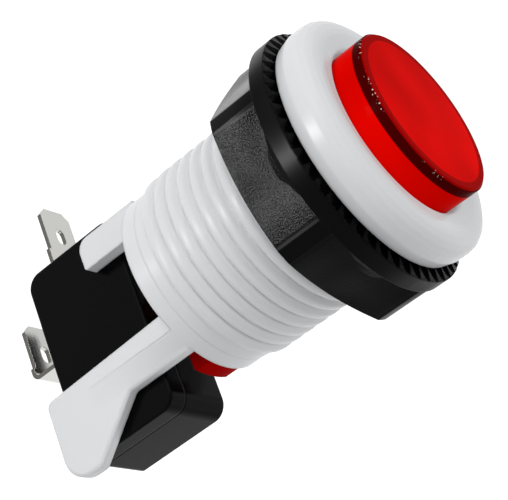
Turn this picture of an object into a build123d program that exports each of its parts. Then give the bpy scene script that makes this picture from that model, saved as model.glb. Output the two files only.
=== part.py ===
"""Arcade push button with a clamping nut and a snap-in microswitch. Millimetres, +Z out of the cap.

The origin is on the button's axis, in the plane of the panel's front face: the bezel's underside.
X runs along the microswitch and Y across it.
"""
from build123d import *
import os
from math import atan, atan2, cos, degrees, pi, radians, sin, sqrt

# Facets in the large rounds and in one turn of the thread
bezel_steps = 4
blend_steps = 4
thread_facets = 20

# Overlaps that join solids and reaches that clear a cut
weld = 0.5
cut_reach = 1.0

# Fits and clearances
slide_clearance = 0.25
thread_clearance = 0.3
snap_clearance = 0.1
seat_gap = 0.05
pin_clearance = 0.2

# Bezel and barrel of the housing
bezel_radius = 16.5
bezel_foot_radius = 16.1
bezel_foot_height = 1.5
bezel_height = 5.05
bezel_edge_round = 2.1
bezel_crown_radius = 13.6
bezel_lip_drop = 0.4
bezel_lip_bevel = 0.3
barrel_wall = 1.2
barrel_length = 28.9
thread_height = 0.7
thread_pitch = 2.0
thread_flank = 0.7
thread_start = 0.56
thread_run_out = 2.0
plain_band = 2.3
floor_thickness = 1.5

# Plunger
cap_radius = 11.15
cap_rise = 3.6
cap_edge_bevel = 0.3
cap_wall = 1.3
cap_roof = 1.2
skirt_length = 6.0
stem_radius = 2.2
boss_radius = 5.0
boss_length = 7.0
arm_width = 5.6
hook_reach = 1.3
hook_height = 2.7
hook_lead_in = 0.4
stroke = 1.8

# Return spring
wire_width = 0.7
spring_radius = 3.7
spring_turns = 3.0

# Mounting nut
nut_height = 9.8
nut_across_flats = 31.4
nut_corner_radius = 17.6
nut_corner_angle = 13.6
nut_chamfer = 0.75
nut_face_inset = 0.5
flange_radius = 17.65
flange_height = 2.1
flange_blend = 1.9
tooth_count = 52
tooth_height = 0.6
tooth_length = 2.7
tooth_width = 1.3
tooth_bevel = 1.9
tooth_edge_height = 0.1

# Microswitch case
switch_length = 27.8
switch_height = 15.9
switch_width = 10.3
switch_offset = 1.37
switch_drop = 5.4
switch_corner_round = 2.2
switch_low_corner_round = 1.0
switch_wall = 1.5
cover_depth = 2.75
seam_groove = 0.15
switch_edge_bevel = 0.2
mount_hole_radius = 1.55
mount_hole_inset = 2.8
mount_boss_wall = 1.2

# Actuator and contacts
actuator_radius = 1.55
actuator_rise = 2.3
actuator_flange_radius = 2.4
actuator_flange_height = 1.0
actuator_nose_radius = 0.5
actuator_nose_height = 1.5
blade_drop = 6.6
blade_thickness = 0.3
blade_width = 4.6
blade_pivot = 8.2
blade_tail = 0.9
blade_lip = 0.4
blade_window_inset = 1.5
blade_window_length = 7.0
blade_window_width = 1.8
contact_reach = 6.5
contact_radius = 1.2
contact_height = 0.7

# Terminals
strip_thickness = 0.6
strip_width = 5.6
shoulder_width = 6.5
strip_bend = 0.9
strip_overrun = 1.0
tab_length = 6.8
tab_tip_cut = 1.1
tab_hole_length = 2.5
tab_hole_width = 1.6
tab_hole_inset = 4.3
end_terminal_height = 3.7
end_terminal_reach = 10.1
low_terminal_offset = 1.9
low_terminal_drop = 4.9

# Legs that hold the switch
leg_thickness = 1.5
leg_inset = 6.95
leg_width = 5.5
leg_taper = 0.8
leg_corner_round = 1.0
leg_edge_bevel = 0.3
foot_reach = 4.9
foot_depth = 4.7
foot_corner_round = 3.7
foot_shoulder_height = 0.65
knee_height = 8.4
gusset_length = 16.0
gusset_inset = 1.85
gusset_lean = 1.45
tongue_thickness = 1.85
tongue_inset = 1.05
tongue_width = 4.15
tongue_depth = 2.0
tongue_corner_round = 1.7
tongue_edge_round = 0.4
peg_length = 2.0
nub_radius = 1.0

# Levels and places that follow from the sizes above
rim_z = -barrel_length
floor_z = rim_z + floor_thickness
bore_radius = cap_radius + slide_clearance
barrel_radius = bore_radius + barrel_wall
thread_crest_radius = barrel_radius + thread_height
thread_turns = int((barrel_length - thread_start - plain_band) / thread_pitch)
cap_top = bezel_height + cap_rise
arm_inner_radius = cap_radius - cap_wall
hook_top = rim_z - seat_gap
hook_bottom = hook_top - hook_height
switch_top = rim_z - switch_drop
switch_bottom = switch_top - switch_height
switch_left = switch_offset - switch_length / 2
switch_right = switch_offset + switch_length / 2
switch_front = -switch_width / 2
switch_back = switch_width / 2
seam_y = switch_front + cover_depth
upper_hole = (switch_left + mount_hole_inset, switch_top - mount_hole_inset)
lower_hole = (switch_right - mount_hole_inset, switch_bottom + mount_hole_inset)
mount_block = mount_hole_inset + mount_hole_radius + mount_boss_wall
actuator_top = switch_top + actuator_rise
stem_end = actuator_top + seat_gap
blade_top = switch_top - blade_drop
blade_bottom = blade_top - blade_thickness
blade_swing = atan((stroke + seat_gap) / (blade_pivot - actuator_nose_radius))
end_strip_z = switch_bottom + end_terminal_height
low_strip_z = switch_bottom - low_terminal_drop
end_strip_tip = switch_left - end_terminal_reach
low_strip_x = switch_offset - low_terminal_offset
low_strip_tip = low_strip_x - end_terminal_reach + (switch_left - end_strip_tip - tab_length) / 2
leg_inner_y = switch_width / 2 + snap_clearance


def outline(corners):
    """Closed flat outline from corners given as (across, up, rounding)."""
    face = make_face(Polyline(*[(x, y) for x, y, _ in corners], close=True))
    for x, y, rounding in corners:
        if rounding > 0:
            corner = face.vertices().sort_by_distance((x, y, 0))[0]
            face = fillet(corner, rounding)
    return face


def stepped_round(centre, radius, start, end, steps):
    """Corners along a quarter round between two angles in degrees, so that a large round has few facets."""
    angles = [radians(start + (end - start) * i / steps) for i in range(steps + 1)]
    return [(centre[0] + radius * cos(a), centre[1] + radius * sin(a), 0) for a in angles]


def turned(corners):
    """Solid of revolution about the button's axis from (radius, height, rounding) corners."""
    return revolve(Plane.XZ * outline(corners), Axis.Z)


def slab(face, y_from, y_to):
    """Flat XZ outline given thickness from one Y to a lower one."""
    return extrude(Plane.XZ.offset(-y_from) * face, amount=y_from - y_to)


def box(x, y, z):
    """Block between pairs of limits in X, Y and Z."""
    block = Box(x[1] - x[0], y[1] - y[0], z[1] - z[0])
    return Pos((x[0] + x[1]) / 2, (y[0] + y[1]) / 2, (z[0] + z[1]) / 2) * block


def upright(radius, z_from, z_to):
    """Cylinder on the button's axis between two heights."""
    return Pos(0, 0, (z_from + z_to) / 2) * Cylinder(radius, z_to - z_from)


def cross_pin(radius, place, y_from, y_to):
    """Cylinder along Y at an (X, Z) place."""
    return Pos(place[0], (y_from + y_to) / 2, place[1]) * Rot(90, 0, 0) * Cylinder(radius, y_to - y_from)


# Housing


def gusset(leg_left, outer_y):
    """Web that carries the barrel's round down into the leg's flat front."""
    toe_left = leg_left + gusset_inset
    root_left = toe_left + gusset_lean
    root_y = -sqrt(barrel_radius**2 - root_left**2)
    reach = sqrt(barrel_radius**2 - outer_y**2)
    start = degrees(atan2(root_y, root_left))
    arc = CenterArc((0, 0), barrel_radius, start, degrees(atan2(outer_y, reach)) - start)
    sides = Polyline((reach, outer_y), (reach, -leg_inner_y), (root_left, -leg_inner_y), (root_left, root_y))
    root = make_face(arc + sides)
    toe_corners = [(toe_left, outer_y), (reach, outer_y), (reach, -leg_inner_y), (toe_left, -leg_inner_y)]
    toe = make_face(Polyline(*toe_corners, close=True))
    return loft([Pos(0, 0, rim_z) * root, Pos(0, 0, rim_z - gusset_length) * toe], ruled=True)


def long_leg():
    """Front leg with its gusset, wide foot and locating peg."""
    left = lower_hole[0] - leg_inset
    right = left + leg_width
    foot_right = lower_hole[0] + foot_reach
    bottom = lower_hole[1] - foot_depth
    corners = [
        (left - leg_taper, rim_z, 0),
        (left, bottom, leg_corner_round),
        (foot_right, bottom, foot_corner_round),
        (foot_right, lower_hole[1] + foot_shoulder_height, leg_corner_round),
        (right, lower_hole[1] + knee_height, leg_corner_round),
        (right, rim_z, 0),
    ]
    outer_y = -leg_inner_y - leg_thickness
    leg = slab(outline(corners), -leg_inner_y, outer_y)
    front_edges = leg.faces().sort_by(Axis.Y)[0].edges()
    leg = chamfer(front_edges.sort_by(Axis.Z)[:-1], leg_edge_bevel)
    peg_radius = mount_hole_radius - snap_clearance
    peg = cross_pin(peg_radius, lower_hole, -leg_inner_y - weld, -leg_inner_y + peg_length)
    return leg + gusset(left, outer_y) + peg


def tongue():
    """Short front tongue with a nub for the switch's upper hole."""
    left = upper_hole[0] - tongue_inset
    right = left + tongue_width
    bottom = upper_hole[1] - tongue_depth
    corners = [
        (left, rim_z, 0),
        (left, bottom, tongue_corner_round),
        (right, bottom, tongue_edge_round),
        (right, rim_z, 0),
    ]
    plate = slab(outline(corners), -leg_inner_y, -leg_inner_y - tongue_thickness)
    nub = cross_pin(nub_radius, upper_hole, -leg_inner_y - weld, -leg_inner_y + peg_length)
    return plate + nub


def facets(quad):
    """Two flat triangles across a four-cornered patch."""
    one, two, three, four = quad
    return [make_face(Polyline(*corners, close=True)) for corners in ((one, two, three), (one, three, four))]


def threaded_core():
    """Closed form of the threaded length: a right-handed helix in flat facets that fades at both ends."""
    steps = thread_turns * thread_facets
    ribs = steps - thread_facets
    fade_steps = thread_run_out / thread_pitch * thread_facets

    def place(step, radius, drop):
        angle = -2 * pi * step / thread_facets
        height = -thread_start - thread_pitch * step / thread_facets - drop
        return (radius * cos(angle), radius * sin(angle), height)

    def rib(step):
        share = min(step / fade_steps, (ribs - step) / fade_steps, 1)
        crest = barrel_radius + (thread_crest_radius - barrel_radius) * share
        return [
            place(step, barrel_radius, 0),
            place(step, crest, thread_flank),
            place(step, crest, thread_pitch - thread_flank),
            place(step + thread_facets, barrel_radius, 0),
        ]

    faces = []
    for step in range(ribs):
        here = rib(step)
        ahead = rib(step + 1)
        for low, high in ((0, 1), (1, 2), (2, 3)):
            faces += facets((here[low], ahead[low], ahead[high], here[high]))
    tops = [place(0, barrel_radius, 0)]
    lows = [place(steps, barrel_radius, 0)]
    for step in range(1, thread_facets):
        tops.append(place(step, barrel_radius, -thread_pitch * step / thread_facets))
        lows.append(place(ribs + step, barrel_radius, thread_pitch * (1 - step / thread_facets)))
    for step in range(thread_facets):
        upper = [tops[step], place(step, barrel_radius, 0), place(step + 1, barrel_radius, 0)]
        lower = [place(ribs + step + 1, barrel_radius, 0), place(ribs + step, barrel_radius, 0), lows[step]]
        if step == 0:
            upper = [tops[0], upper[2]]
            lower = [lower[0], *rib(ribs)]
        if step < thread_facets - 1:
            upper.append(tops[step + 1])
            lower.append(lows[step + 1])
        else:
            upper = [tops[step], upper[1], *reversed(rib(0))]
        faces += [make_face(Polyline(*upper, close=True)), make_face(Polyline(*lower, close=True))]
    faces += [make_face(Polyline(*tops, close=True)), make_face(Polyline(*lows, close=True))]
    return Solid(Shell(faces))


def make_housing():
    """Bezel, threaded barrel and floor, with slots for the snap arms and the legs and tongues below."""
    stem_hole = stem_radius + slide_clearance
    edge_centre = (bezel_radius - bezel_edge_round, bezel_height - bezel_edge_round)
    neck_radius = barrel_radius - barrel_wall / 2
    thread_end = -thread_start - thread_pitch * thread_turns
    form = turned(
        [
            (0, rim_z, 0),
            (barrel_radius, rim_z, 0),
            (barrel_radius, thread_end, 0),
            (neck_radius, thread_end, 0),
            (neck_radius, -thread_start, 0),
            (barrel_radius, -thread_start, 0),
            (barrel_radius, 0, 0),
            (bezel_foot_radius, 0, 0),
            (bezel_radius, bezel_foot_height, 0),
            *stepped_round(edge_centre, bezel_edge_round, 0, 90, bezel_steps),
            (bezel_crown_radius, bezel_height, 0),
            (bore_radius + bezel_lip_bevel, bezel_height - bezel_lip_drop, 0),
            (0, bezel_height - bezel_lip_drop, 0),
        ]
    )
    bore = turned(
        [
            (0, rim_z - cut_reach, 0),
            (stem_hole, rim_z - cut_reach, 0),
            (stem_hole, floor_z, 0),
            (bore_radius, floor_z, 0),
            (bore_radius, bezel_height - bezel_lip_drop - bezel_lip_bevel, 0),
            (bore_radius + bezel_lip_bevel, bezel_height - bezel_lip_drop, 0),
            (bore_radius + bezel_lip_bevel, bezel_height, 0),
            (0, bezel_height, 0),
        ]
    )
    slot_inner = arm_inner_radius - hook_reach - 2 * slide_clearance
    slot_half = arm_width / 2 + slide_clearance
    slot_z = (rim_z - cut_reach, floor_z + cut_reach)
    slots = upright(bore_radius, *slot_z) & box((-bore_radius, bore_radius), (-slot_half, slot_half), slot_z)
    slots = slots - box((-slot_inner, slot_inner), (-bore_radius, bore_radius), slot_z)
    shell = form + threaded_core() - bore - slots
    return shell + long_leg() + tongue() + mirror(tongue(), about=Plane.XZ)


# Plunger


def make_plunger():
    """Hollow cap on a skirt, with a hollow spring boss, a stem and two snap arms."""
    roof_z = cap_top - cap_roof
    boss_z = -boss_length
    cap = turned(
        [
            (0, stem_end, 0),
            (stem_radius, stem_end, 0),
            (stem_radius, boss_z, 0),
            (boss_radius, boss_z, 0),
            (boss_radius, roof_z, 0),
            (arm_inner_radius, roof_z, 0),
            (arm_inner_radius, -skirt_length, 0),
            (cap_radius, -skirt_length, 0),
            (cap_radius, cap_top - cap_edge_bevel, 0),
            (cap_radius - cap_edge_bevel, cap_top, 0),
            (0, cap_top, 0),
        ]
    )
    hook_radius = bore_radius + hook_reach - slide_clearance
    arm_ring = turned(
        [
            (arm_inner_radius, hook_bottom, 0),
            (hook_radius - hook_lead_in, hook_bottom, 0),
            (hook_radius, hook_bottom + hook_lead_in, 0),
            (hook_radius, hook_top, 0),
            (cap_radius, hook_top, 0),
            (cap_radius, weld - skirt_length, 0),
            (arm_inner_radius, weld - skirt_length, 0),
        ]
    )
    arm_band = box((-bezel_radius, bezel_radius), (-arm_width / 2, arm_width / 2), (hook_bottom, 0))
    return cap + (arm_ring & arm_band)


def make_return_spring():
    """Coil between the housing's floor and the plunger's boss, of wire drawn here with four flats."""
    low = floor_z + wire_width / 2 + seat_gap
    high = -boss_length - wire_width / 2 - seat_gap
    rise = high - low
    path = Helix(pitch=rise / spring_turns, height=rise, radius=spring_radius, center=(0, 0, low))
    section = Plane(origin=path @ 0, x_dir=(1, 0, 0), z_dir=path % 0) * RegularPolygon(wire_width / 2, 4)
    return sweep(section, path=path, is_frenet=True)


# Mounting nut


def make_mounting_nut():
    """Hexagon with worn-off corners, blended into a round flange with saw teeth under the panel."""
    ring_top = -seat_gap - tooth_height
    ring_low = ring_top - flange_height
    bottom = -seat_gap - nut_height
    flat_radius = nut_across_flats / 2
    hexagon = Rot(0, 0, nut_corner_angle) * RegularPolygon(flat_radius, 6, major_radius=False)
    prism = extrude(Pos(0, 0, bottom) * hexagon, amount=ring_low - bottom)
    barrel_form = turned(
        [
            (0, bottom, 0),
            (flat_radius - nut_face_inset, bottom, 0),
            (nut_corner_radius, bottom + nut_chamfer, 0),
            (nut_corner_radius, ring_low, 0),
            (0, ring_low, 0),
        ]
    )
    blend_centre = (flange_radius, ring_low - flange_blend)
    flange = turned(
        [
            (barrel_radius, ring_low - flange_blend, 0),
            *stepped_round(blend_centre, flange_blend, 180, 90, blend_steps),
            (flange_radius, ring_top, 0),
            (barrel_radius, ring_top, 0),
        ]
    )
    tooth_corners = [(0, -weld), (tooth_width, -weld), (tooth_width, 0), (0, tooth_height)]
    tooth_face = make_face(Polyline(*tooth_corners, close=True))
    tooth_plane = Plane(origin=(flange_radius - tooth_length, 0, ring_top), x_dir=(0, 1, 0), z_dir=(1, 0, 0))
    tooth_end = sqrt(flange_radius**2 - tooth_width**2)
    tooth = extrude(tooth_plane * tooth_face, amount=tooth_end - flange_radius + tooth_length)
    side_corners = [
        (barrel_radius, ring_top - weld, 0),
        (flange_radius, ring_top - weld, 0),
        (flange_radius, ring_top + tooth_edge_height, 0),
        (flange_radius - tooth_bevel, ring_top + tooth_height, 0),
        (barrel_radius, ring_top + tooth_height, 0),
    ]
    tooth = tooth & slab(outline(side_corners), tooth_width, 0)
    nut = (prism & barrel_form) + flange
    nut = nut + [Rot(0, 0, 360 * i / tooth_count) * tooth for i in range(tooth_count)]
    return nut - upright(thread_crest_radius + thread_clearance, bottom - cut_reach, cut_reach)


# Microswitch


def switch_outline():
    """Front outline of the case and its cover."""
    return outline(
        [
            (switch_left, switch_bottom, switch_corner_round),
            (switch_right, switch_bottom, switch_low_corner_round),
            (switch_right, switch_top, switch_corner_round),
            (switch_left, switch_top, switch_corner_round),
        ]
    )


def chamber_outline():
    """Outline of the space inside, with a block round each mounting hole and a stop for the blade."""
    left = switch_left + switch_wall
    right = switch_right - switch_wall
    top = switch_top - switch_wall
    bottom = switch_bottom + switch_wall
    block_left = switch_left + mount_block
    block_right = switch_right - mount_block
    stop_z = blade_top + seat_gap
    corners = [
        (left, bottom, 0),
        (block_right, bottom, 0),
        (block_right, switch_bottom + mount_block, 0),
        (right, switch_bottom + mount_block, 0),
        (right, top, 0),
        (block_left, top, 0),
        (block_left, stop_z, 0),
        (left, stop_z, 0),
    ]
    return outline(corners)


def terminal_slots():
    """Openings in the case and cover that the two terminals pass through."""
    half_strip = strip_thickness / 2 + snap_clearance / 2
    half_width = shoulder_width / 2 + snap_clearance / 2
    y = (-half_width, half_width)
    end_x = (switch_left - cut_reach, switch_left + switch_wall + cut_reach)
    end = box(end_x, y, (end_strip_z - half_strip, end_strip_z + half_strip))
    low_x = (low_strip_x - half_strip, low_strip_x + half_strip)
    low = box(low_x, y, (switch_bottom - cut_reach, switch_bottom + switch_wall + cut_reach))
    return end + low


def mount_holes():
    """Cutters for the two mounting holes."""
    span = (switch_front - cut_reach, switch_back + cut_reach)
    return cross_pin(mount_hole_radius, upper_hole, *span) + cross_pin(mount_hole_radius, lower_hole, *span)


def make_switch_case():
    """Case open towards the cover, with a groove at the seam and the actuator's hole in its top."""
    case = slab(switch_outline(), switch_back, seam_y + seam_groove)
    case = case + slab(offset(switch_outline(), -seam_groove), seam_y + seam_groove, seam_y)
    case = case - slab(chamber_outline(), switch_back - switch_wall, seam_y - cut_reach)
    case = case - mount_holes() - terminal_slots()
    hole_z = (switch_top - switch_wall - cut_reach, switch_top + cut_reach)
    return case - upright(actuator_radius + pin_clearance, *hole_z)


def make_switch_cover():
    """Shallow cover that continues the case's walls."""
    cover = slab(switch_outline(), seam_y, switch_front)
    cover = chamfer(cover.faces().sort_by(Axis.Y)[0].edges(), switch_edge_bevel)
    cover = cover - slab(chamber_outline(), seam_y + cut_reach, switch_front + switch_wall)
    return cover - mount_holes() - terminal_slots()


def make_switch_actuator():
    """Pin with a flange that keeps it in the case and a nose on the blade."""
    flange_top = switch_top - switch_wall - seat_gap
    foot = blade_top + seat_gap
    return turned(
        [
            (0, foot, 0),
            (actuator_nose_radius, foot, 0),
            (actuator_radius, foot + actuator_nose_height, 0),
            (actuator_radius, flange_top - actuator_flange_height, 0),
            (actuator_flange_radius, flange_top - actuator_flange_height, 0),
            (actuator_flange_radius, flange_top, 0),
            (actuator_radius, flange_top, 0),
            (actuator_radius, actuator_top, 0),
            (0, actuator_top, 0),
        ]
    )


def strip(points, width):
    """Bent metal strip along an XZ line."""
    line = FilletPolyline(*points, radius=strip_bend) if len(points) > 2 else Line(*points)
    face = trace(line, line_width=strip_thickness)
    return extrude(Plane.XZ * face, amount=width / 2, both=True)


def tab_shape(tip, z):
    """Plan of a tab with cut corners and an oblong hole, broader behind its shoulder."""
    half = strip_width / 2
    shoulder = tip + tab_length
    half_shoulder = shoulder_width / 2
    far = switch_right
    plan = make_face(
        Polyline(
            (tip, tab_tip_cut - half),
            (tip + tab_tip_cut, -half),
            (shoulder, -half),
            (shoulder, -half_shoulder),
            (far, -half_shoulder),
            (far, half_shoulder),
            (shoulder, half_shoulder),
            (shoulder, half),
            (tip + tab_tip_cut, half),
            (tip, half - tab_tip_cut),
            close=True,
        )
    )
    plan = plan - Pos(tip + tab_hole_inset, 0) * SlotOverall(tab_hole_length, tab_hole_width)
    return extrude(Pos(0, 0, z) * plan, amount=switch_height + barrel_length)


def make_normally_open_terminal():
    """Straight strip through the end wall, under the moving contact."""
    inner_end = contact_radius - contact_reach + strip_overrun
    body = strip([(end_strip_tip, end_strip_z), (inner_end, end_strip_z)], shoulder_width)
    return body & tab_shape(end_strip_tip, end_strip_z - strip_thickness)


def make_common_terminal():
    """Strip bent under the case at one end and up to the blade's pivot at the other."""
    bar_z = switch_bottom + switch_wall + strip_bend + seat_gap
    post_x = blade_pivot + strip_thickness / 2
    route = [
        (low_strip_tip, low_strip_z),
        (low_strip_x, low_strip_z),
        (low_strip_x, bar_z),
        (post_x, bar_z),
        (post_x, blade_bottom - seat_gap),
    ]
    return strip(route, shoulder_width) & tab_shape(low_strip_tip, low_strip_z - strip_thickness)


def make_contact_blade():
    """Thin blade from the pivot to the moving contact, with the window of a snap spring."""
    tip = -contact_reach - contact_radius - blade_lip
    tail = blade_pivot + blade_tail
    half = blade_width / 2
    blade = box((tip, tail), (-half, half), (blade_bottom, blade_top))
    window_x = blade_pivot - blade_window_inset - blade_window_length / 2
    window = Pos(window_x, 0, blade_bottom) * SlotOverall(blade_window_length, blade_window_width)
    return blade - extrude(window, amount=blade_thickness)


def make_moving_contact():
    """Contact button welded under the blade."""
    middle_z = blade_bottom - contact_height / 2
    return Pos(-contact_reach, 0, middle_z) * Cylinder(contact_radius, contact_height)


def make_fixed_contact():
    """Contact button on the normally open terminal, just clear of the moving one at full stroke."""
    drop = (blade_pivot + contact_reach + contact_radius) * sin(blade_swing)
    low = end_strip_z + strip_thickness / 2
    high = blade_bottom - (contact_height + seat_gap) * cos(blade_swing) - drop
    return Pos(-contact_reach, 0, (low + high) / 2) * Cylinder(contact_radius, high - low)


nodes = {
    "housing": make_housing,
    "plunger": make_plunger,
    "return_spring": make_return_spring,
    "mounting_nut": make_mounting_nut,
    "switch_case": make_switch_case,
    "switch_cover": make_switch_cover,
    "switch_actuator": make_switch_actuator,
    "common_terminal": make_common_terminal,
    "normally_open_terminal": make_normally_open_terminal,
    "contact_blade": make_contact_blade,
    "moving_contact": make_moving_contact,
    "fixed_contact": make_fixed_contact,
}

if __name__ == "__main__":
    os.makedirs("parts", exist_ok=True)
    for name, make in nodes.items():
        export_step(make(), f"parts/{name}.step")
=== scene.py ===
"""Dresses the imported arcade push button: its thread, spring and finishes, the studio and the camera."""

import logging
import math
from dataclasses import dataclass
from enum import Enum

import bpy
import numpy as np
from mathutils import Matrix, Vector


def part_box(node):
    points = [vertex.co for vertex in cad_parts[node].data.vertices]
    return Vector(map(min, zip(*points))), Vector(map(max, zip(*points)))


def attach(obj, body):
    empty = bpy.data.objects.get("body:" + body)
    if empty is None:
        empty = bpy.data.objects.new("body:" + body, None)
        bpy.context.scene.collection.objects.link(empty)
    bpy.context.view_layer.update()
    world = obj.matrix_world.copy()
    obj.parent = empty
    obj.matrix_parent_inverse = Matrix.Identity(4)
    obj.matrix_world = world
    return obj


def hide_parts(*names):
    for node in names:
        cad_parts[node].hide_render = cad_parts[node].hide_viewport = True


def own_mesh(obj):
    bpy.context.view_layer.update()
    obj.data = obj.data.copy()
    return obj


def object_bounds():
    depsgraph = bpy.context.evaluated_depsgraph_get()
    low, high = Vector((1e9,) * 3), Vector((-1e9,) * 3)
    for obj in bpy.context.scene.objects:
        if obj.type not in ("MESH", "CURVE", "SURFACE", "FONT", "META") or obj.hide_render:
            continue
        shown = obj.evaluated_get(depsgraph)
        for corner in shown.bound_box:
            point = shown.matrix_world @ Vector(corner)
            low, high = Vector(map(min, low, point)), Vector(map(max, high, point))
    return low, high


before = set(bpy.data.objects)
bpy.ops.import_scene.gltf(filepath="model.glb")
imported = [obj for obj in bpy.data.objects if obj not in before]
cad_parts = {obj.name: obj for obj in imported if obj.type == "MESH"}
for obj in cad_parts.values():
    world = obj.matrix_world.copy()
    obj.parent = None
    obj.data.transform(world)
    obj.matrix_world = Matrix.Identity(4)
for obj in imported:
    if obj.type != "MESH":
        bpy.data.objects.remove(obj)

CAD_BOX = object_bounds()
MM = 0.001
LOG = logging.getLogger("push_button")

# A colour mix names several of its sockets alike, so these go by their place.
MIX_SHARE, MIX_UNDER, MIX_OVER, MIX_COLOUR = 0, 6, 7, 2

Colour = tuple[float, float, float, float]
Tree = bpy.types.NodeTree
Node = bpy.types.Node
Socket = bpy.types.NodeSocket


class Body(Enum):
    """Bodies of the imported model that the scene's own pieces ride on."""

    BASE = "base"


class Slot(Enum):
    """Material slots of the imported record."""

    WHITE = "white_abs"
    RED = "red_polycarbonate"
    SPRING = "spring_steel"
    NUT = "black_nylon"
    CASE = "black_phenolic"
    PIN = "red_polycarbonate_pin"
    TIN = "tinned_brass"
    BRONZE = "contact_bronze"
    SILVER = "contact_silver"


class Side(Enum):
    """Side of a limit on which a zone of the surface lies."""

    PAST = 1
    SHORT = -1


def linear(hex_colour: str) -> Colour:
    """Turns an sRGB hex value into linear colour.

    Args:
        hex_colour: Six hex digits after a hash sign.

    Returns:
        Linear red, green, blue and full alpha.
    """
    channels = [int(hex_colour[i : i + 2], 16) / 255 for i in (1, 3, 5)]
    red, green, blue = (c / 12.92 if c <= 0.04045 else ((c + 0.055) / 1.055) ** 2.4 for c in channels)
    return (red, green, blue, 1.0)


def add_node(
    tree: Tree,
    kind: str,
    values: dict[str | int, object] | None = None,
    links: dict[str | int, Socket] | None = None,
    **settings: object,
) -> Node:
    """Adds a node with its settings, input values and links.

    Args:
        tree: Node tree that takes the node.
        kind: Blender's name for the node type.
        values: Input name or place to its value.
        links: Input name or place to the socket that feeds it.
        settings: Properties of the node itself.

    Returns:
        The new node.
    """
    node = tree.nodes.new(kind)
    for name, value in settings.items():
        setattr(node, name, value)
    for key, value in (values or {}).items():
        node.inputs[key].default_value = value
    for key, socket in (links or {}).items():
        tree.links.new(socket, node.inputs[key])
    return node


def per_size(size_mm: float) -> float:
    """Gives the texture scale whose cells are about this many millimetres wide."""
    return 1 / (size_mm * MM)


def mesh_piece(name: str, points: np.ndarray, faces: list[tuple[int, ...]]) -> bpy.types.Object:
    """Makes a smooth mesh object from points in millimetres.

    Args:
        name: Name of the piece.
        points: Rows of X, Y and Z.
        faces: Corner numbers of each face.

    Returns:
        The object, linked to the scene.
    """
    mesh = bpy.data.meshes.new(name)
    mesh.from_pydata((points * MM).tolist(), [], faces)
    mesh.validate()
    mesh.shade_smooth()
    piece = bpy.data.objects.new(name, mesh)
    bpy.context.scene.collection.objects.link(piece)
    return piece


def ring_faces(rows: int, columns: int, closed_rows: bool) -> list[tuple[int, ...]]:
    """Gives the quads of a grid whose columns close on themselves.

    Args:
        rows: Number of rings.
        columns: Points in each ring.
        closed_rows: Whether the last ring joins the first.

    Returns:
        Corner numbers of each quad.
    """
    faces = []
    for i in range(rows if closed_rows else rows - 1):
        low, high = i * columns, (i + 1) % rows * columns
        for j in range(columns):
            k = (j + 1) % columns
            faces.append((low + j, low + k, high + k, high + j))
    return faces


def heading(azimuth: float, elevation: float) -> Vector:
    """Gives the unit vector to a place round the object.

    Args:
        azimuth: Degrees from -Y towards +X.
        elevation: Degrees above the floor.

    Returns:
        Vector from the object outwards.
    """
    a, e = math.radians(azimuth), math.radians(elevation)
    return Vector((math.sin(a) * math.cos(e), -math.cos(a) * math.cos(e), math.sin(e)))


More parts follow.
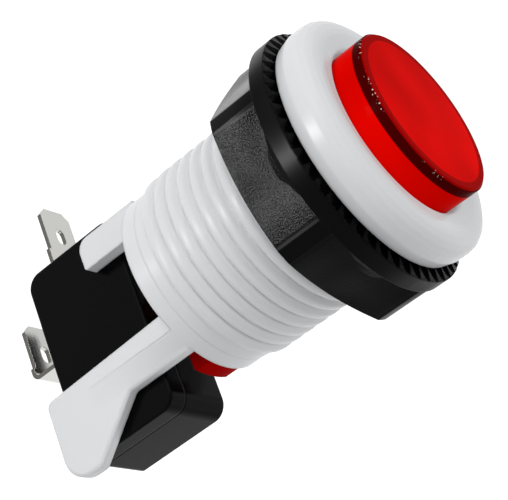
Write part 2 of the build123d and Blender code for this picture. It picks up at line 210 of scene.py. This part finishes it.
@dataclass(frozen=True)
class Finish:
    """A material of one real surface, with the pattern that its making leaves.

    Attributes:
        name: Real material and process.
        colour: sRGB hex value.
        roughness: Roughness before its pattern.
        ior: Index of refraction.
        specular: Strength of the mirror layer.
        metallic: One for bare metal.
        grain_mm: Width of the surface grain.
        grain_height_mm: Height of the grain.
        mottle: Share by which the grain's tops are rougher than the middle, negative where they shine.
        edge_mm: Radius to which moulding or rolling has softened the edges.
        sink_mm: Width of the shallow hollows that shrinkage leaves.
        sink_height_mm: Depth of those hollows, or 0 where there are none.
        soft_mm: Half the width of the border between two zones of the surface.
    """

    name: str
    colour: str
    roughness: float
    ior: float = 1.5
    specular: float = 0.5
    metallic: float = 0.0
    grain_mm: float = 0.5
    grain_height_mm: float = 0.01
    mottle: float = 0.15
    edge_mm: float = 0.15
    sink_mm: float = 7.0
    sink_height_mm: float = 0.0
    soft_mm: float = 0.1

    def material(self) -> bpy.types.Material:
        """Builds the material.

        Returns:
            The material, ready for a mesh.
        """
        made = bpy.data.materials.new(self.name)
        made.use_nodes = True
        tree = made.node_tree
        tree.nodes.clear()
        place = add_node(tree, "ShaderNodeTexCoord").outputs["Object"]
        shader = add_node(
            tree,
            "ShaderNodeBsdfPrincipled",
            {"Base Color": linear(self.colour), "Roughness": self.roughness, "Metallic": self.metallic},
        )
        if not self.metallic:
            shader.inputs["IOR"].default_value = self.ior
            shader.inputs["Specular IOR Level"].default_value = self.specular
        self.pattern(tree, shader, place)
        add_node(tree, "ShaderNodeOutputMaterial", links={"Surface": shader.outputs["BSDF"]})
        return made

    def grain(self, tree: Tree, place: Socket) -> Socket:
        """Adds the noise of the surface's own grain.

        Args:
            tree: Node tree of the material.
            place: Object coordinates.

        Returns:
            Grain height from 0 to 1.
        """
        values = {"Scale": per_size(self.grain_mm), "Detail": 3.0, "Roughness": 0.55}
        return add_node(tree, "ShaderNodeTexNoise", values, {"Vector": place}).outputs["Fac"]

    def hollows(self, tree: Tree, place: Socket) -> Socket:
        """Adds the slow noise of the hollows that shrinkage leaves.

        Args:
            tree: Node tree of the material.
            place: Object coordinates.

        Returns:
            Surface height from 0 to 1.
        """
        values = {"Scale": per_size(self.sink_mm), "Detail": 0.0}
        return add_node(tree, "ShaderNodeTexNoise", values, {"Vector": place}).outputs["Fac"]

    def pattern(self, tree: Tree, shader: Node, place: Socket) -> None:
        """Adds grain to the shader's roughness, and softened edges, hollows and grain to its normal.

        Args:
            tree: Node tree of the material.
            shader: Principled shader.
            place: Object coordinates.
        """
        grain = self.grain(tree, place)
        rough = add_node(
            tree,
            "ShaderNodeMapRange",
            {"To Min": self.roughness * (1 - self.mottle), "To Max": self.roughness * (1 + self.mottle)},
            {"Value": grain},
        )
        tree.links.new(rough.outputs["Result"], shader.inputs["Roughness"])
        layers = [(grain, self.grain_height_mm)]
        if self.sink_height_mm:
            layers.insert(0, (self.hollows(tree, place), self.sink_height_mm))
        edge = add_node(tree, "ShaderNodeBevel", {"Radius": self.edge_mm * MM}, samples=4)
        normal = edge.outputs["Normal"]
        for height, height_mm in layers:
            normal = add_node(
                tree,
                "ShaderNodeBump",
                {"Strength": 1.0, "Distance": height_mm * MM},
                {"Height": height, "Normal": normal},
            ).outputs["Normal"]
        tree.links.new(normal, shader.inputs["Normal"])

    @staticmethod
    def radius(tree: Tree, place: Socket) -> Socket:
        """Adds the distance from the button's axis.

        Args:
            tree: Node tree of the material.
            place: Object coordinates.

        Returns:
            Distance in metres.
        """
        flat = add_node(tree, "ShaderNodeVectorMath", {1: (1.0, 1.0, 0.0)}, {0: place}, operation="MULTIPLY")
        links = {0: flat.outputs["Vector"]}
        return add_node(tree, "ShaderNodeVectorMath", links=links, operation="LENGTH").outputs["Value"]

    def zone(self, tree: Tree, *limits: tuple[Socket, float, Side]) -> Socket:
        """Marks the part of the surface that lies within all the limits, with soft borders.

        Args:
            tree: Node tree of the material.
            limits: For each limit a size in metres, the limit in millimetres and the side that counts.

        Returns:
            Share of the zone from 0 to 1.
        """
        shares = []
        for size, limit_mm, side in limits:
            border = side.value * self.soft_mm
            within = add_node(
                tree,
                "ShaderNodeMapRange",
                {"From Min": (limit_mm - border) * MM, "From Max": (limit_mm + border) * MM},
                {"Value": size},
                interpolation_type="SMOOTHSTEP",
            )
            shares.append(within.outputs["Result"])
        zone = shares[0]
        for share in shares[1:]:
            links = {0: zone, 1: share}
            zone = add_node(tree, "ShaderNodeMath", links=links, operation="MULTIPLY").outputs[0]
        return zone


@dataclass(frozen=True)
class SparkGrain(Finish):
    """Moulded surface whose flats come from spark-eroded steel and whose rounds come from turned steel.

    Attributes:
        round_mm: Radius beyond which the tool was turned smooth.
    """

    round_mm: float = 17.35

    def grain(self, tree: Tree, place: Socket) -> Socket:
        """Adds sandy noise that stops where the rounds begin.

        Args:
            tree: Node tree of the material.
            place: Object coordinates.

        Returns:
            Grain height from 0 to 1.
        """
        flats = self.zone(tree, (self.radius(tree, place), self.round_mm, Side.SHORT))
        links = {0: super().grain(tree, place), 1: flats}
        return add_node(tree, "ShaderNodeMath", links=links, operation="MULTIPLY").outputs[0]


@dataclass(frozen=True)
class ClearRed(Finish):
    """Clear red plastic, darker where more of it lies behind the surface, with painted shade at the roof's
    edge and on the arms, and painted glints.

    Attributes:
        deep_colour: Colour where the light comes back through more plastic.
        wall_and_arm_shade_colour: Colour where one looks down the length of a wall, and of the solid arms
            below the cap, there partly for their thickness and partly painted shade.
        roof_edge_shade_colour: Painted shade in a band round the roof's edge, where one looks along the
            roof.
        painted_glint_colour: Colour of the painted glints.
        cloud_mm: Width of the slow change between thin and deep colour.
        cloud_range: Values of its noise that give the deep and the thin colour.
        disc_mm: Radius of the hollow under the roof.
        arm_mm: Height below which only the arms show.
        slab_mm: Heights between which the roof's edge is painted dark as shade.
        painted_glint_mm: Spacing of the glints in the roof's edge.
        painted_glint_low_mm: Height above which the glints lie.
        painted_glint_range: Distances from a glint's middle, in spacings, at which it ends and is whole.
        stretch_mm: Length of the stretches round the edge that have glints.
        stretch_range: Values of their noise at which the glints begin and are whole.
    """

    deep_colour: str = "#D80300"
    wall_and_arm_shade_colour: str = "#A80302"
    roof_edge_shade_colour: str = "#4A0101"
    painted_glint_colour: str = "#FFE4DE"
    cloud_mm: float = 14.0
    cloud_range: tuple[float, float] = (0.35, 0.65)
    disc_mm: float = 9.95
    arm_mm: float = -20.0
    slab_mm: tuple[float, float] = (7.25, 8.5)
    painted_glint_mm: float = 0.36
    painted_glint_low_mm: float = 8.15
    painted_glint_range: tuple[float, float] = (0.3, 0.2)
    stretch_mm: float = 6.0
    stretch_range: tuple[float, float] = (0.52, 0.6)

    def pattern(self, tree: Tree, shader: Node, place: Socket) -> None:
        """Colours the cap by how much plastic lies behind each place, with painted shade and painted glints.

        Args:
            tree: Node tree of the material.
            shader: Principled shader.
            place: Object coordinates.
        """
        super().pattern(tree, shader, place)
        height = add_node(tree, "ShaderNodeSeparateXYZ", links={"Vector": place}).outputs["Z"]
        low, high = self.slab_mm
        above = (height, high, Side.PAST)
        below = (height, high, Side.SHORT)
        wall = self.zone(tree, (self.radius(tree, place), self.disc_mm, Side.PAST), above)
        # Partly painted shade: the arms below the cap take the deeper wall colour, partly for their solid
        # thickness.
        arms = self.zone(tree, (height, self.arm_mm, Side.SHORT))
        # Painted shade: a dark band round the roof's edge.
        slab = self.zone(tree, (height, low, Side.PAST), below)
        rim = self.zone(tree, (height, self.painted_glint_low_mm, Side.PAST), below)
        colour = self.clouds(tree, place)
        for share, over in (
            (wall, self.wall_and_arm_shade_colour),
            (arms, self.wall_and_arm_shade_colour),
            (slab, self.roof_edge_shade_colour),
            # Painted highlights: small glints along the roof's edge.
            (self.painted_glints(tree, place, rim), self.painted_glint_colour),
        ):
            colour = add_node(
                tree,
                "ShaderNodeMix",
                {MIX_OVER: linear(over)},
                {MIX_SHARE: share, MIX_UNDER: colour},
                data_type="RGBA",
            ).outputs[MIX_COLOUR]
        tree.links.new(colour, shader.inputs["Base Color"])

    def clouds(self, tree: Tree, place: Socket) -> Socket:
        """Adds the slow change between thin and deep colour over the cap.

        Args:
            tree: Node tree of the material.
            place: Object coordinates.

        Returns:
            Colour at each place.
        """
        values = {"Scale": per_size(self.cloud_mm), "Detail": 1.0}
        cloud = add_node(tree, "ShaderNodeTexNoise", values, {"Vector": place}).outputs["Fac"]
        deep, thin = self.cloud_range
        share = add_node(tree, "ShaderNodeMapRange", {"From Min": deep, "From Max": thin}, {"Value": cloud})
        return add_node(
            tree,
            "ShaderNodeMix",
            {MIX_UNDER: linear(self.deep_colour), MIX_OVER: linear(self.colour)},
            {MIX_SHARE: share.outputs["Result"]},
            data_type="RGBA",
        ).outputs[MIX_COLOUR]

    def painted_glints(self, tree: Tree, place: Socket, rim: Socket) -> Socket:
        """Paints the small glints that the roof's edge throws back, as painted highlights in a few stretches
        round it.

        Args:
            tree: Node tree of the material.
            place: Object coordinates.
            rim: Zone that holds the glints.

        Returns:
            Share of glint from 0 to 1.
        """
        cells = add_node(tree, "ShaderNodeTexVoronoi", {"Scale": per_size(self.painted_glint_mm)}, {"Vector": place})
        values = {"Scale": per_size(self.stretch_mm), "Detail": 0.0}
        wide = add_node(tree, "ShaderNodeTexNoise", values, {"Vector": place})
        share = rim
        for amount, (none, whole) in (
            (cells.outputs["Distance"], self.painted_glint_range),
            (wide.outputs["Fac"], self.stretch_range),
        ):
            part = add_node(
                tree, "ShaderNodeMapRange", {"From Min": none, "From Max": whole}, {"Value": amount}
            )
            links = {0: share, 1: part.outputs["Result"]}
            share = add_node(tree, "ShaderNodeMath", links=links, operation="MULTIPLY").outputs[0]
        return share


@dataclass(frozen=True)
class TinPlate(Finish):
    """Tin-plated brass strip with fine rolling marks along its length and darker edges, partly the dull
    sheared cut and partly painted dark reflection.

    Attributes:
        streak_stretch: How many times longer than wide the rolling marks are.
        sheared_edge_and_reflection_colour: Colour of the edges, partly their dull sheared cut and partly
            painted dark reflection.
        dark_edge_range: Sideways parts of the normal at which an edge begins to darken and is all dark.
    """

    streak_stretch: float = 12.0
    sheared_edge_and_reflection_colour: str = "#5C5A56"
    dark_edge_range: tuple[float, float] = (0.6, 0.8)

    def grain(self, tree: Tree, place: Socket) -> Socket:
        """Adds noise drawn out along X, the way the strip was rolled.

        Args:
            tree: Node tree of the material.
            place: Object coordinates.

        Returns:
            Grain height from 0 to 1.
        """
        stretch = {"Scale": (1 / self.streak_stretch, 1.0, 1.0)}
        drawn = add_node(tree, "ShaderNodeMapping", stretch, {"Vector": place}).outputs["Vector"]
        values = {"Scale": per_size(self.grain_mm), "Detail": 4.0, "Roughness": 0.6}
        return add_node(tree, "ShaderNodeTexNoise", values, {"Vector": drawn}).outputs["Fac"]

    def pattern(self, tree: Tree, shader: Node, place: Socket) -> None:
        """Darkens the edges that face across the strip, partly for the dull sheared cut and partly as
        painted dark reflection.

        Args:
            tree: Node tree of the material.
            shader: Principled shader.
            place: Object coordinates.
        """
        super().pattern(tree, shader, place)
        facing = add_node(tree, "ShaderNodeTexCoord").outputs["Normal"]
        across = add_node(tree, "ShaderNodeSeparateXYZ", links={"Vector": facing}).outputs["Y"]
        size = add_node(tree, "ShaderNodeMath", links={0: across}, operation="ABSOLUTE").outputs[0]
        begun, dull = self.dark_edge_range
        edge = add_node(tree, "ShaderNodeMapRange", {"From Min": begun, "From Max": dull}, {"Value": size})
        colour = add_node(
            tree,
            "ShaderNodeMix",
            {MIX_UNDER: linear(self.colour), MIX_OVER: linear(self.sheared_edge_and_reflection_colour)},
            {MIX_SHARE: edge.outputs["Result"]},
            data_type="RGBA",
        )
        tree.links.new(colour.outputs[MIX_COLOUR], shader.inputs["Base Color"])


# Injection-moulded ABS: bright white with a soft sheen and the slight waviness that thick walls sink into.
WHITE_ABS = Finish(
    "moulded_white_abs",
    "#E6E7E9",
    0.26,
    ior=1.53,
    specular=0.075,
    grain_mm=5.0,
    grain_height_mm=0.06,
    edge_mm=0.5,
)

# Nylon from a spark-eroded tool: near black, with a sandy grain that sparkles where a lamp grazes it, and
# duller turned rounds. The real grit is about 0.1 mm, drawn twice as coarse so that it shows. The hollows
# are drawn deeper than real ones, so that the flats shine unevenly as they do by eye.
BLACK_NYLON = SparkGrain(
    "spark_grained_black_nylon",
    "#050505",
    0.16,
    ior=1.53,
    specular=0.036,
    grain_mm=0.2,
    grain_height_mm=0.045,
    mottle=-0.9,
    edge_mm=0.2,
    sink_mm=7.0,
    sink_height_mm=0.8,
)

# Phenolic from a polished tool: flat black with a thin even sheen and almost no grain.
BLACK_PHENOLIC = Finish(
    "moulded_black_phenolic",
    "#050505",
    0.2,
    ior=1.6,
    specular=0.025,
    grain_mm=0.8,
    grain_height_mm=0.01,
    edge_mm=0.3,
)

# Drawn spring wire: grey steel with the fine mottle that the die leaves.
SPRING_STEEL = Finish(
    "drawn_spring_steel", "#A6A6A8", 0.3, metallic=1.0, grain_mm=0.3, grain_height_mm=0.005, mottle=0.3
)

# Rolled bronze strip: warm brown metal that a press has left lightly marked.
BRONZE = Finish(
    "rolled_contact_bronze", "#B88A58", 0.35, metallic=1.0, grain_mm=0.4, grain_height_mm=0.004, mottle=0.3
)

# Silver alloy of a contact: pale and a little dull.
SILVER = Finish(
    "coined_contact_silver", "#DCDCD8", 0.28, metallic=1.0, grain_mm=0.4, grain_height_mm=0.004, mottle=0.3
)

# Moulded pin of the switch: dull dark red.
PIN_RED = Finish("moulded_red_pin", "#8C1212", 0.45, grain_mm=0.6, grain_height_mm=0.01)

# Clear polycarbonate dyed red, from a polished tool: smooth, and brightest over the hollow of the cap.
# Its mirror layer is weak, because the white surroundings in it would wash out the red.
# Painted shade darkens a band round the roof's edge and, in part, the arms below the cap; painted highlights
# stand for the small glints along that edge.
CLEAR_RED = ClearRed(
    "clear_red_polycarbonate", "#FA0500", 0.12, ior=1.58, specular=0.0008, grain_mm=4.0, grain_height_mm=0.01
)

# Tin plate on stamped brass: pale grey metal, soft mirror, faint streaks. Real rolling marks are about
# 0.05 mm wide, drawn seven times as coarse so that they show.
# Its edges that face across the strip are painted darker, partly for the dull sheared cut and partly as
# painted dark reflection.
TIN_PLATE = TinPlate(
    "tin_plated_brass", "#C6C6C3", 0.16, metallic=1.0, grain_mm=0.35, grain_height_mm=0.006, mottle=0.35
)


def dress(node: str, finish: bpy.types.Material) -> bpy.types.Object:
    """Gives a CAD node its finish.

    Args:
        node: Name of the node.
        finish: Material for all of it.

    Returns:
        The node's object.
    """
    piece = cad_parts[node]
    piece.data.materials.clear()
    piece.data.materials.append(finish)
    LOG.info("dressed %s with %s", node, finish.name)
    return piece


@dataclass
class Housing:
    """White housing with the helical thread on its barrel, in millimetres.

    Attributes:
        root: Radius of the plain barrel.
        height: Height of the thread, and depth to which its sleeve goes into the barrel's wall.
        pitch: Rise of the thread in one turn.
        start: Height of the first groove, at angle zero.
        turns: Turns of the ridge.
        fade: Turns over which it rises and dies away.
        roundness: How broad the ridge is: 2 is a round crest, more is flatter.
        skin: Thickness over the solid below.
        margin: Plain length beyond the first and last groove.
        columns: Points round the barrel.
        rows_per_turn: Rings in one pitch.
    """

    root: float = 12.6
    height: float = 0.7
    pitch: float = 2.0
    start: float = -0.56
    turns: int = 12
    fade: float = 1.0
    roundness: float = 3.0
    skin: float = 0.02
    margin: float = 0.2
    columns: int = 144
    rows_per_turn: int = 18

    def build(self) -> None:
        """Dresses the housing and makes its thread."""
        white = WHITE_ABS.material()
        dress("housing", white)
        thread = self.thread()
        thread.data.materials.append(white)
        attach(thread, Body.BASE.value)
        LOG.info("made %s", thread.name)

    def thread(self) -> bpy.types.Object:
        """Makes the thread as a closed sleeve on the barrel.

        Returns:
            The sleeve.
        """
        length = (self.turns + 1) * self.pitch + 2 * self.margin
        rows = int(length / self.pitch * self.rows_per_turn) + 1
        angle = np.linspace(0, 2 * np.pi, self.columns, endpoint=False)
        level = np.linspace(self.start + self.margin, self.start + self.margin - length, rows)
        turn, z = np.meshgrid(angle, level)
        radius = self.root + self.skin + self.height * self.ridge(turn, z)
        outer = np.stack([radius * np.cos(turn), radius * np.sin(turn), z], -1).reshape(-1, 3)
        low, high = outer[-self.columns :].copy(), outer[: self.columns].copy()
        for edge in (low, high):
            edge[:, :2] *= (self.root - self.height) / np.linalg.norm(edge[:, :2], axis=1, keepdims=True)
        points = np.concatenate([outer, low, high])
        return mesh_piece("barrel_thread", points, ring_faces(rows + 2, self.columns, True))

    def ridge(self, turn: np.ndarray, z: np.ndarray) -> np.ndarray:
        """Gives the share of the thread's height at places on the barrel.

        Args:
            turn: Angles round the axis in radians.
            z: Heights.

        Returns:
            Shares from 0 in the groove to 1 on the crest.
        """
        fall = (self.start - z) / self.pitch
        across = (fall + turn / (2 * np.pi)) % 1
        along = fall - across
        fade = np.clip(np.minimum(along, self.turns - along) / self.fade, 0, 1)
        return (1 - np.abs(2 * across - 1) ** self.roundness) * (1 - (1 - fade) ** 2)


@dataclass
class Plunger:
    """Red cap and the coil that returns it, in millimetres.

    Attributes:
        wire: Diameter of the spring's wire.
        coil: Radius to the middle of the wire.
        turns: Turns from end to end.
        stroke: Travel of the cap; not used.
        rings_per_turn: Rings of points in one turn.
        around: Points round the wire.
    """

    wire: float = 0.7
    coil: float = 3.7
    turns: float = 3.0
    stroke: float = 1.8
    rings_per_turn: int = 40
    around: int = 12

    def build(self) -> None:
        """Dresses the plunger and makes its spring."""
        cap = dress("plunger", CLEAR_RED.material())
        # Clear plastic lets soft light through, so it hardly shades or tints the bezel round it.
        cap.visible_diffuse = False
        spring = self.spring()
        spring.data.materials.append(SPRING_STEEL.material())
        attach(spring, Body.BASE.value)
        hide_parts("return_spring")
        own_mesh(spring)
        LOG.info("made %s", spring.name)

    def spring(self) -> bpy.types.Object:
        """Makes the coil as a round wire along a helix.

        Returns:
            The coil.
        """
        low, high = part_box("return_spring")
        z_low, z_high = low.z / MM + self.wire / 2, high.z / MM - self.wire / 2
        count = int(self.turns * self.rings_per_turn) + 1
        share = np.linspace(0, 1, count)
        turn = 2 * np.pi * self.turns * share
        z = z_low + (z_high - z_low) * share
        out = np.stack([np.cos(turn), np.sin(turn), np.zeros(count)], -1)
        up = np.array([0.0, 0.0, 1.0])
        spin = np.linspace(0, 2 * np.pi, self.around, endpoint=False)
        centre = self.coil * out + np.outer(z, up)
        section = np.cos(spin)[None, :, None] * out[:, None, :] + np.sin(spin)[None, :, None] * up
        points = (centre[:, None, :] + self.wire / 2 * section).reshape(-1, 3)
        faces = ring_faces(count, self.around, False)
        faces.append(tuple(range(self.around))[::-1])
        faces.append(tuple(range((count - 1) * self.around, count * self.around)))
        return mesh_piece("return_coil", points, faces)


@dataclass
class ClampNut:
    """Black nut that grips the panel.

    Attributes:
        node: CAD node of the nut.
    """

    node: str = "mounting_nut"

    def build(self) -> None:
        """Dresses the nut."""
        dress(self.node, BLACK_NYLON.material())


@dataclass
class Microswitch:
    """Switch between the legs, with its terminals and contacts.

    Attributes:
        shells: CAD nodes of the black case.
        strips: CAD nodes of the terminals.
        contacts: CAD nodes of the contact buttons.
        blade: CAD node of the spring blade.
        pin: CAD node of the pin that the plunger presses.
    """

    shells: tuple[str, ...] = ("switch_case", "switch_cover")
    strips: tuple[str, ...] = ("common_terminal", "normally_open_terminal")
    contacts: tuple[str, ...] = ("moving_contact", "fixed_contact")
    blade: str = "contact_blade"
    pin: str = "switch_actuator"

    def build(self) -> None:
        """Dresses each piece of the switch."""
        for nodes, finish, slot in (
            (self.shells, BLACK_PHENOLIC, Slot.CASE),
            (self.strips, TIN_PLATE, Slot.TIN),
            (self.contacts, SILVER, Slot.SILVER),
            ((self.blade,), BRONZE, Slot.BRONZE),
            ((self.pin,), PIN_RED, Slot.PIN),
        ):
            material = finish.material()
            for node in nodes:
                dress(node, material)


@dataclass
class Lamp:
    """Square soft lamp.

    Attributes:
        name: Name of the lamp.
        azimuth: Degrees from -Y towards +X.
        elevation: Degrees above the floor.
        size: Side of the lamp in metres.
        power: Power in watts.
        glints_only: Whether it shows in highlights alone.
        reach: Distance from the object's middle in metres.
    """

    name: str
    azimuth: float
    elevation: float
    size: float
    power: float
    glints_only: bool = False
    reach: float = 0.6


@dataclass
class Studio:
    """Pale floor, white surroundings and soft lamps.

    Attributes:
        ambient: Strength of the surroundings on the object.
        floor_height: Height of the floor in metres.
        floor_size: Side of the floor in metres.
        paper_colour: sRGB hex value of the floor's paper.
        lift: Light added to the floor where it is seen, so that it shows as white.
        lamps: Lamps round the object.
        glinting: Pieces that take the glints, which would burn bare metal and the switch's edges white.
    """

    ambient: float = 0.52
    floor_height: float = -0.16
    floor_size: float = 6.0
    paper_colour: str = "#F2F2F2"
    lift: float = 0.55
    lamps: tuple[Lamp, ...] = (
        Lamp("key", -22.0, 16.0, 0.2, 1.15),
        Lamp("glints", -8.0, -19.0, 0.06, 1.0, glints_only=True, reach=0.3),
        Lamp("top", 20.0, 75.0, 0.5, 0.5),
        Lamp("back", 160.0, 30.0, 0.5, 0.5),
    )
    glinting: tuple[str, ...] = ("housing", "barrel_thread", "plunger", "mounting_nut")

    def build(self) -> None:
        """Makes the floor, the surroundings and the lamps."""
        self.surroundings()
        self.floor()
        middle = (CAD_BOX[0] + CAD_BOX[1]) / 2
        for lamp in self.lamps:
            hung = self.hang(lamp, middle)
            if lamp.glints_only:
                self.keep_to_glints(hung)
            LOG.info("hung lamp %s", lamp.name)
        bpy.context.scene.view_settings.view_transform = "Standard"

    def surroundings(self) -> None:
        """Makes a world that is white to look at and lights the object plainly."""
        world = bpy.data.worlds.new("white_studio")
        bpy.context.scene.world = world
        world.use_nodes = True
        tree = world.node_tree
        tree.nodes.clear()
        strength = add_node(
            tree, "ShaderNodeMapRange", {"To Min": self.ambient, "To Max": 1.0}, {"Value": self.seen(tree)}
        )
        white = (1.0, 1.0, 1.0, 1.0)
        sky = add_node(
            tree, "ShaderNodeBackground", {"Color": white}, {"Strength": strength.outputs["Result"]}
        )
        add_node(tree, "ShaderNodeOutputWorld", links={"Surface": sky.outputs["Background"]})

    @staticmethod
    def seen(tree: Tree) -> Socket:
        """Tells the rays by which the studio is seen from those by which it lights the object.

        Args:
            tree: Node tree of the world or the floor.

        Returns:
            1 for a ray from the camera, a mirror or glass, and otherwise 0.
        """
        path = add_node(tree, "ShaderNodeLightPath").outputs
        seen = path["Is Camera Ray"]
        for other in ("Is Glossy Ray", "Is Transmission Ray"):
            links = {0: seen, 1: path[other]}
            seen = add_node(tree, "ShaderNodeMath", links=links, operation="MAXIMUM").outputs[0]
        return seen

    def floor(self) -> None:
        """Makes the floor of matt white paper, which keeps the object's shadow and is clear from below."""
        half, z = self.floor_size / 2 / MM, self.floor_height / MM
        corners = np.array([(-half, -half, z), (half, -half, z), (half, half, z), (-half, half, z)])
        floor = mesh_piece("studio_floor", corners, [(0, 1, 2, 3)])
        paper = bpy.data.materials.new("white_paper")
        paper.use_nodes = True
        tree = paper.node_tree
        tree.nodes.clear()
        matt = add_node(tree, "ShaderNodeBsdfDiffuse", {"Color": linear(self.paper_colour)}).outputs["BSDF"]
        lift = add_node(
            tree, "ShaderNodeMapRange", {"To Min": 0.0, "To Max": self.lift}, {"Value": self.seen(tree)}
        ).outputs["Result"]
        glow = add_node(tree, "ShaderNodeEmission", links={"Strength": lift}).outputs["Emission"]
        lit = add_node(tree, "ShaderNodeAddShader", links={0: matt, 1: glow}).outputs["Shader"]
        clear = add_node(tree, "ShaderNodeBsdfTransparent").outputs["BSDF"]
        below = add_node(tree, "ShaderNodeNewGeometry").outputs["Backfacing"]
        sided = add_node(tree, "ShaderNodeMixShader", links={0: below, 1: lit, 2: clear}).outputs["Shader"]
        add_node(tree, "ShaderNodeOutputMaterial", links={"Surface": sided})
        floor.data.materials.append(paper)

    @staticmethod
    def hang(lamp: Lamp, middle: Vector) -> bpy.types.Object:
        """Hangs a lamp that faces the object.

        Args:
            lamp: Lamp to hang.
            middle: Middle of the object.

        Returns:
            The lamp's object.
        """
        light = bpy.data.lights.new(lamp.name, "AREA")
        light.energy = lamp.power
        light.size = lamp.size
        hung = bpy.data.objects.new(lamp.name, light)
        out = heading(lamp.azimuth, lamp.elevation)
        hung.location = middle + out * lamp.reach
        hung.rotation_mode = "QUATERNION"
        hung.rotation_quaternion = (-out).to_track_quat("-Z", "Y")
        hung.visible_camera = False
        bpy.context.scene.collection.objects.link(hung)
        return hung

    def keep_to_glints(self, hung: bpy.types.Object) -> None:
        """Lets a lamp show only in the highlights of the pieces that take it.

        Args:
            hung: The lamp's object.
        """
        hung.visible_diffuse = False
        takers = bpy.data.collections.new("glinting_pieces")
        for name in self.glinting:
            takers.objects.link(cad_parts.get(name) or bpy.data.objects[name])
        hung.light_linking.receiver_collection = takers


@dataclass
class PhotoCamera:
    """Camera at the photograph's place.

    Attributes:
        aim: Point in the middle of the picture, in millimetres.
        azimuth: Degrees from -Y towards +X.
        elevation: Degrees above the floor.
        roll: Degrees that the camera leans, so that the button points up to the right.
        distance: From the aim point, in millimetres.
        focal_pixels: Focal length in pixels of the picture.
        picture_width: Width of the picture in pixels.
        clip: Nearest and farthest distance that shows, in metres.
    """

    aim: tuple[float, float, float] = (4.95, -5.89, -15.97)
    azimuth: float = 30.94
    elevation: float = 25.43
    roll: float = 53.53
    distance: float = 194.0
    focal_pixels: float = 1640.9
    picture_width: float = 508.0
    clip: tuple[float, float] = (0.01, 20.0)

    def build(self) -> None:
        """Makes the camera and hands it to the scene."""
        data = bpy.data.cameras.new("photo_camera")
        data.lens = self.focal_pixels / self.picture_width * data.sensor_width
        data.clip_start, data.clip_end = self.clip
        camera = bpy.data.objects.new("photo_camera", data)
        back = heading(self.azimuth, self.elevation)
        lean = Matrix.Rotation(math.radians(self.roll), 3, "Z")
        turn = (-back).to_track_quat("-Z", "Y").to_matrix() @ lean
        stand = (Vector(self.aim) + back * self.distance) * MM
        camera.matrix_world = Matrix.Translation(stand) @ turn.to_4x4()
        bpy.context.scene.collection.objects.link(camera)
        bpy.context.scene.camera = camera


def main() -> None:
    """Builds every sub-assembly, then the studio and the camera."""
    logging.basicConfig(level=logging.INFO, format="%(message)s")
    for assembly in (Housing(), Plunger(), ClampNut(), Microswitch(), Studio(), PhotoCamera()):
        assembly.build()
        LOG.info("built %s", type(assembly).__name__)


if __name__ == "__main__":
    main()
